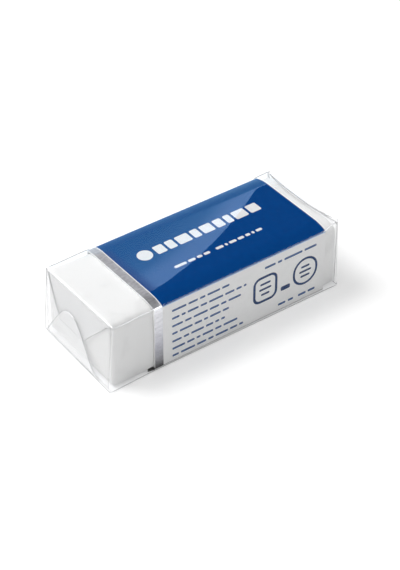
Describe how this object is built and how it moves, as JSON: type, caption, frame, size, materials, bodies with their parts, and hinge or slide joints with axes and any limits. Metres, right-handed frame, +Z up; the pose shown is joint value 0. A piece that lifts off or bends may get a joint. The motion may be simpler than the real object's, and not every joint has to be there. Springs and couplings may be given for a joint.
{
  "type": "block eraser in a card sleeve",
  "caption": "White vinyl block eraser in a folded card sleeve, sealed in a clear film wrap with envelope-folded ends.",
  "frame": {"origin": "centre of the underside of the film wrap, on the surface it lies on", "axes": "+X along the block from the banded end of the sleeve to its plain end, +Y towards the back long side, +Z up"},
  "size_m": [0.0474, 0.0198, 0.0136],
  "materials": {
    "eraser_block": "matt vinyl",
    "card_sleeve": "glossy print, blue on the top panel and white on the others, with a foil band at one end",
    "film_wrap": "clear glossy film"
  },
  "bodies": {
    "root": {"eraser_block": "eraser_block", "card_sleeve": "card_sleeve", "film_wrap": "film_wrap"}
  },
  "joints": []
}
